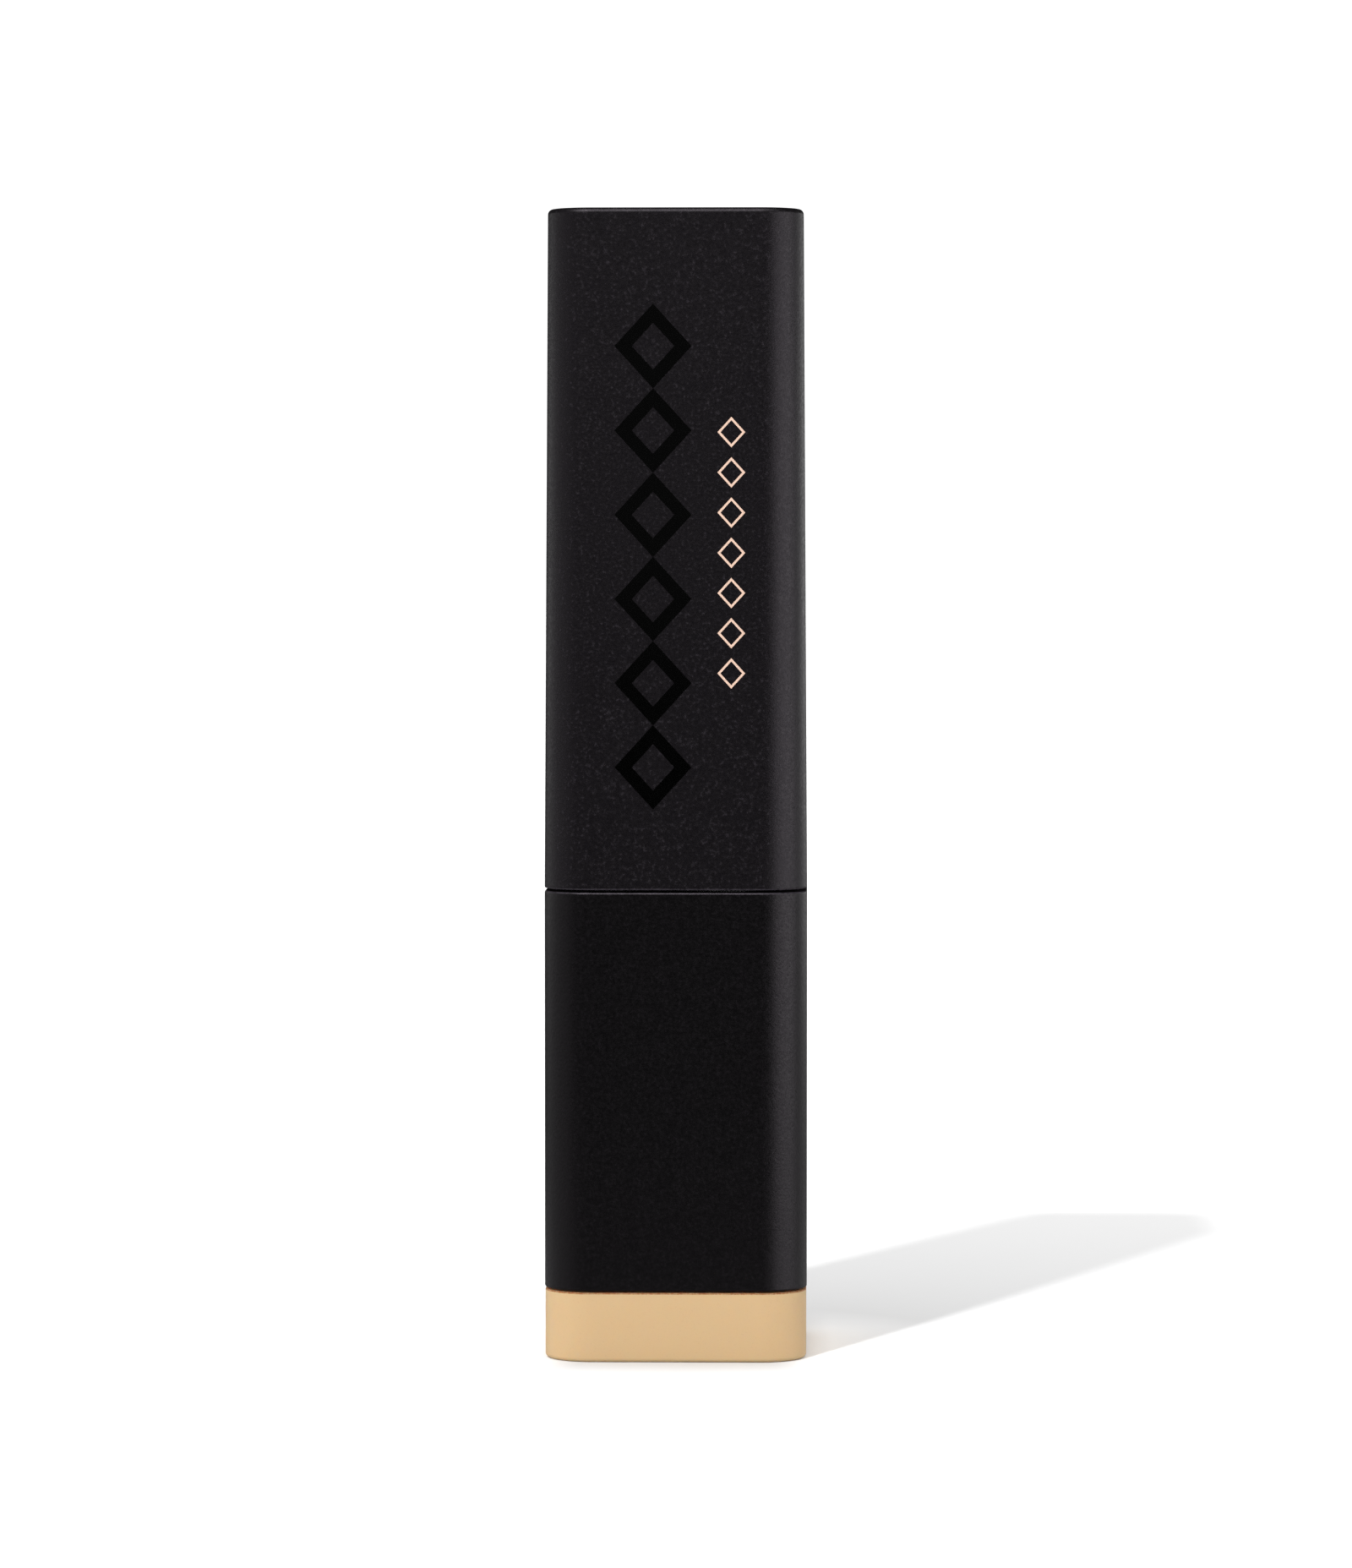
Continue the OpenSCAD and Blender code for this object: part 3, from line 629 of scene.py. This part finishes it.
class STICKCASE_OT_stick(bpy.types.Operator):
    """Build the wax stick with its slanted tip"""

    bl_idname = "stickcase.stick"
    bl_label = "Stick"

    def execute(self, context):
        sizes, colours = context.scene.case_sizes, context.scene.case_colours
        radius, low = STICK_HIGH.x, STICK_LOW.z
        tip = COLLAR_HIGH.z - sizes.tip_recess
        steps = 10
        shoulder = [(radius - sizes.shoulder_reach * (1 - math.cos(math.pi / 2 * i / steps)),
                     tip - sizes.shoulder + sizes.shoulder * math.sin(math.pi / 2 * i / steps))
                    for i in range(steps + 1)]
        mesh = turned([(0, low), (radius, low), *shoulder, (0, tip)])
        slant = math.atan2(sizes.slant_drop, 2 * radius)
        cut = bmesh.ops.bisect_plane(
            mesh, geom=list(mesh.verts) + list(mesh.edges) + list(mesh.faces), dist=PAST / 10,
            plane_co=(0, -radius, tip - sizes.slant_drop), clear_outer=True,
            plane_no=(0, -math.sin(slant), math.cos(slant)))["geom_cut"]
        rim = [g for g in cut if isinstance(g, bmesh.types.BMEdge)]
        bmesh.ops.contextual_create(mesh, geom=rim)
        bmesh.ops.recalc_face_normals(mesh, faces=mesh.faces)
        round_edges(mesh, [e for e in rim if e.is_valid], sizes.slant_edge, arc=3)
        finished_piece("wax_stick", mesh, moulded_wax(colours), "carrier", "bullet")
        return {"FINISHED"}


def lozenge(mesh, width, height, stroke, film, place):
    """An open lozenge, lying in XY, as a film of even thickness."""
    verts = bmesh.ops.create_circle(mesh, cap_ends=True, segments=4, radius=1.0)["verts"]
    bmesh.ops.scale(mesh, vec=(width / 2, height / 2, 1), verts=verts)
    middle = list(verts[0].link_faces)
    ring = bmesh.ops.inset_region(mesh, faces=middle, thickness=stroke, use_even_offset=True,
                                   use_boundary=True)["faces"]
    bmesh.ops.delete(mesh, geom=middle, context="FACES_ONLY")
    under = {v for f in ring for v in f.verts}
    raised = bmesh.ops.extrude_face_region(mesh, geom=ring, use_keep_orig=True)["geom"]
    over = {g for g in raised if isinstance(g, bmesh.types.BMVert)}
    bmesh.ops.translate(mesh, vec=(0, 0, film), verts=list(over))
    bmesh.ops.transform(mesh, matrix=place, verts=list(under | over))


def stand_on_face(mesh, sizes):
    """Stands a flat pattern up on the cap's front, which leans back by the draft."""
    bmesh.ops.rotate(mesh, cent=(0, 0, 0), matrix=Matrix.Rotation(math.pi / 2, 3, "X"),
                     verts=mesh.verts)
    bmesh.ops.translate(mesh, vec=(0, CAP_LOW.y, CAP_LOW.z), verts=mesh.verts)
    lean = math.atan2(sizes.cap_draft, CAP_HIGH.z - CAP_LOW.z)
    bmesh.ops.rotate(mesh, cent=(0, CAP_LOW.y, CAP_LOW.z), matrix=Matrix.Rotation(-lean, 3, "X"),
                     verts=mesh.verts)
    bmesh.ops.recalc_face_normals(mesh, faces=mesh.faces)


class STICKCASE_OT_marks(bpy.types.Operator):
    """Print the plain gloss pattern and stamp the row of foil marks"""

    bl_idname = "stickcase.marks"
    bl_label = "Marks on the cap"

    def execute(self, context):
        sizes, marks = context.scene.case_sizes, context.scene.mark_sizes
        colours = context.scene.case_colours
        rows = (
            ("cap_gloss_pattern", gloss_varnish, "gloss_varnish", -marks.centre_x, marks.centre_z,
             marks.count, marks.pitch, marks.width, marks.height, marks.stroke),
            ("cap_foil_marks", stamping_foil, "rose_gold_foil", marks.foil_x, marks.foil_z,
             marks.foil_count, marks.foil_pitch, marks.foil_width, marks.foil_height,
             marks.foil_stroke),
        )
        for name, finish, slot, across, up, count, pitch, width, height, stroke in rows:
            mesh = bmesh.new()
            for i in range(count):
                # Half a film's thickness is sunk in the face, so that no gap shows under it
                along = up - CAP_LOW.z + (i - (count - 1) / 2) * pitch
                at = Matrix.Translation((across, along, -marks.film / 2))
                lozenge(mesh, width, height, stroke, 1.5 * marks.film, at)
            stand_on_face(mesh, sizes)
            finished_piece(name, mesh, finish(colours), "cap")
        return {"FINISHED"}


class STICKCASE_OT_inner_finishes(bpy.types.Operator):
    """Give the tubes, liner, rings, weight and label their finishes"""

    bl_idname = "stickcase.inner_finishes"
    bl_label = "Inner pieces"

    def execute(self, context):
        colours = context.scene.case_colours
        finishes = {
            "cap_liner": black_polypropylene, "base_core": black_polypropylene,
            "spiral_tube": black_polypropylene, "fork_tube": natural_acetal,
            "retainer_ring": natural_acetal, "brake_ring": brake_elastomer,
            "base_weight": zinc_plated_steel, "shade_label": label_paper,
        }
        for node, finish in finishes.items():
            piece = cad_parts[node]
            piece.data.materials.clear()
            piece.data.materials.append(finish(colours))
        return {"FINISHED"}


def white_table():
    """Matte white sheet that carries the case's shadow and shows little in its reflections; it has
    a glow that lifts parts of that shadow, a painted contact shadow along the foot and a painted
    glow seen only in reflections.
    """
    white = bpy.data.materials.new("matte_white_table")
    white.use_nodes = True
    tree = white.node_tree
    tree.nodes.clear()
    place = add_node(tree, "ShaderNodeTexCoord")
    away = add_node(tree, "ShaderNodeVectorMath", {
        0: place.outputs["Object"]}, operation="LENGTH")
    plan = add_node(tree, "ShaderNodeVectorMath", {
        0: place.outputs["Object"]}, operation="ABSOLUTE")
    sides = add_node(tree, "ShaderNodeSeparateXYZ", {0: plan.outputs["Vector"]})
    # A faint glow lifts the far end of the case's shadow, and the dark corner beside its foot
    far = add_node(tree, "ShaderNodeMapRange", {
        "Value": away.outputs["Value"], "From Min": 10 * MM, "From Max": 110 * MM,
        "To Min": 0.0, "To Max": 0.09})
    beside = add_node(tree, "ShaderNodeMapRange", {
        "Value": sides.outputs["X"], "From Min": 9 * MM, "From Max": 12 * MM,
        "To Min": 0.0, "To Max": 0.22})
    near = add_node(tree, "ShaderNodeMapRange", {
        "Value": away.outputs["Value"], "From Min": 11 * MM, "From Max": 24 * MM,
        "To Min": beside.outputs["Result"], "To Max": 0.0})
    glow = add_node(tree, "ShaderNodeMath", {
        0: far.outputs["Result"], 1: near.outputs["Result"]}, operation="ADD")
    # Painted contact shadow: the sheet is a little greyer in a narrow band along the foot of the
    # case
    contact_shadow_ahead = add_node(tree, "ShaderNodeMapRange", {
        "Value": sides.outputs["Y"], "From Min": 10 * MM, "From Max": 16 * MM,
        "To Min": 0.2, "To Max": 0.0}, interpolation_type="SMOOTHSTEP")
    band = add_node(tree, "ShaderNodeMapRange", {
        "Value": sides.outputs["X"], "From Min": 7 * MM, "From Max": 10.5 * MM,
        "To Min": contact_shadow_ahead.outputs["Result"], "To Max": 0.0}, interpolation_type="SMOOTHSTEP")
    paper = add_node(tree, "ShaderNodeMath", {
        0: 0.86, 1: band.outputs["Result"]}, operation="SUBTRACT")
    grey = add_node(tree, "ShaderNodeCombineColor", {
        name: paper.outputs["Value"] for name in ("Red", "Green", "Blue")})
    table = add_node(tree, "ShaderNodeBsdfPrincipled", {
        "Base Color": grey.outputs["Color"], "Roughness": 0.9, "Specular IOR Level": 0.0,
        "Emission Color": (1, 1, 1, 1), "Emission Strength": glow.outputs["Value"]})
    # The case's reflections see a painted glow in place of the table: only near its foot, more of
    # it at the sides, and black cards further out
    aside = add_node(tree, "ShaderNodeMapRange", {
        "Value": sides.outputs["X"], "From Min": 8 * MM, "From Max": 50 * MM,
        "To Min": 0.25, "To Max": 0.7})
    fading = add_node(tree, "ShaderNodeMapRange", {
        "Value": away.outputs["Value"], "From Min": 15 * MM, "From Max": 110 * MM,
        "To Min": aside.outputs["Result"], "To Max": 0.0})
    mirrored = add_node(tree, "ShaderNodeEmission", {"Strength": fading.outputs["Result"]})
    path = add_node(tree, "ShaderNodeLightPath")
    surface = add_node(tree, "ShaderNodeMixShader", {
        0: path.outputs["Is Glossy Ray"], 1: table.outputs["BSDF"],
        2: mirrored.outputs["Emission"]})
    add_node(tree, "ShaderNodeOutputMaterial", {"Surface": surface.outputs[0]})
    return white


def studio_world():
    """White room, a little brighter on the right; reflections see black cards in its place."""
    world = bpy.data.worlds.new("studio")
    world.use_nodes = True
    tree = world.node_tree
    tree.nodes.clear()
    path = add_node(tree, "ShaderNodeLightPath")
    place = add_node(tree, "ShaderNodeTexCoord")
    axes = add_node(tree, "ShaderNodeSeparateXYZ", {0: place.outputs["Generated"]})
    side = add_node(tree, "ShaderNodeMapRange", {
        "Value": axes.outputs["X"], "From Min": -1.0, "From Max": 1.0,
        "To Min": 0.92, "To Max": 1.0})
    room = add_node(tree, "ShaderNodeBackground", {
        "Color": (1, 1, 1, 1), "Strength": side.outputs["Result"]})
    cards = add_node(tree, "ShaderNodeBackground", {"Color": (1, 1, 1, 1), "Strength": 0.04})
    sweep = add_node(tree, "ShaderNodeBackground", {"Color": (1, 1, 1, 1), "Strength": 1.2})
    mirrored = add_node(tree, "ShaderNodeMixShader", {
        0: path.outputs["Is Glossy Ray"], 1: room.outputs[0], 2: cards.outputs[0]})
    whole = add_node(tree, "ShaderNodeMixShader", {
        0: path.outputs["Is Camera Ray"], 1: mirrored.outputs[0], 2: sweep.outputs[0]})
    add_node(tree, "ShaderNodeOutputWorld", {"Surface": whole.outputs[0]})
    return world


def toward(right, up):
    """Unit vector from the case, by degrees right of its front and degrees up."""
    right, up = math.radians(right), math.radians(up)
    level = math.cos(up)
    return Vector((math.sin(right) * level, -math.cos(right) * level, math.sin(up)))


def aimed(name, data, away, distance, target):
    """Places a light or a camera at a distance from a target, and turns it to face the target."""
    thing = bpy.data.objects.new(name, data)
    thing.location = target + away * distance
    thing.rotation_euler = (-away).to_track_quat("-Z", "Y").to_euler()
    bpy.context.scene.collection.objects.link(thing)
    return thing


class STICKCASE_OT_stage(bpy.types.Operator):
    """Set up the table, the soft light and the camera"""

    bl_idname = "stickcase.stage"
    bl_label = "Stage"

    def execute(self, context):
        scene = context.scene
        scene.view_settings.view_transform = "Standard"
        mesh = bmesh.new()
        bmesh.ops.create_grid(mesh, x_segments=1, y_segments=1, size=TABLE_HALF)
        data = bpy.data.meshes.new("floor")
        mesh.to_mesh(data)
        mesh.free()
        floor = bpy.data.objects.new("floor", data)
        scene.collection.objects.link(floor)
        data.materials.append(white_table())
        scene.world = studio_world()

        middle = Vector((0, 0, (CAD_BOUNDS[0][2] + CAD_BOUNDS[1][2]) / 2))
        # The camera aims a hair low and left of the case's middle
        framed = middle + Vector((-0.13, 0, -0.17)) * MM
        key = bpy.data.lights.new("key", "SUN")
        key.energy, key.angle = 2.0, math.radians(3)
        aimed("key", key, toward(right=-25.1, up=43.6), distance=1.0, target=middle)
        # name, distance, degrees right of the front, degrees up, width, height, watts
        boxes = (
            ("right_box", 0.6, 65, 0, 0.67, 0.18, 2.6),
            ("right_back_box", 0.6, 132, 0, 0.5, 0.18, 0.6),
            ("left_box", 0.6, -95, 0, 1.3, 0.18, 1.05),
            ("front_box", 0.26, -4, 62, 0.2, 0.08, 0.35),
        )
        for name, distance, right, up, width, height, watts in boxes:
            light = bpy.data.lights.new(name, "AREA")
            light.shape = "RECTANGLE"
            light.size, light.size_y, light.energy = width, height, watts
            aimed(name, light, toward(right, up), distance, middle).visible_diffuse = False

        data = bpy.data.cameras.new("camera")
        data.sensor_width, data.lens = 36.0, 133.8
        data.clip_start, data.clip_end = 0.01, 50.0
        scene.camera = aimed(
            "camera", data, toward(right=1.26, up=2.3), distance=0.45, target=framed)
        return {"FINISHED"}


class STICKCASE_PT_panel(bpy.types.Panel):
    """Panel that lists the sizes, the colours and the steps"""

    bl_label = "Stick case"
    bl_idname = "STICKCASE_PT_panel"
    bl_space_type = "VIEW_3D"
    bl_region_type = "UI"
    bl_category = "Stick case"

    def draw(self, context):
        for operator in OPERATORS:
            self.layout.operator(operator.bl_idname)
        scene = context.scene
        for group in (scene.case_sizes, scene.mark_sizes, scene.case_colours):
            box = self.layout.box()
            for name in group.__annotations__:
                box.prop(group, name)


OPERATORS = (
    STICKCASE_OT_stage,
    STICKCASE_OT_base,
    STICKCASE_OT_body,
    STICKCASE_OT_collar,
    STICKCASE_OT_cup,
    STICKCASE_OT_stick,
    STICKCASE_OT_cap,
    STICKCASE_OT_marks,
    STICKCASE_OT_inner_finishes,
)
CLASSES = (CaseSizes, MarkSizes, CaseColours, *OPERATORS, STICKCASE_PT_panel)


def register():
    for cls in CLASSES:
        bpy.utils.register_class(cls)
    bpy.types.Scene.case_sizes = PointerProperty(type=CaseSizes)
    bpy.types.Scene.mark_sizes = PointerProperty(type=MarkSizes)
    bpy.types.Scene.case_colours = PointerProperty(type=CaseColours)


def unregister():
    del bpy.types.Scene.case_colours
    del bpy.types.Scene.mark_sizes
    del bpy.types.Scene.case_sizes
    for cls in reversed(CLASSES):
        bpy.utils.unregister_class(cls)


def main():
    register()
    for operator in OPERATORS:
        group, name = operator.bl_idname.split(".")
        getattr(getattr(bpy.ops, group), name)()


if __name__ == "__main__":
    main()
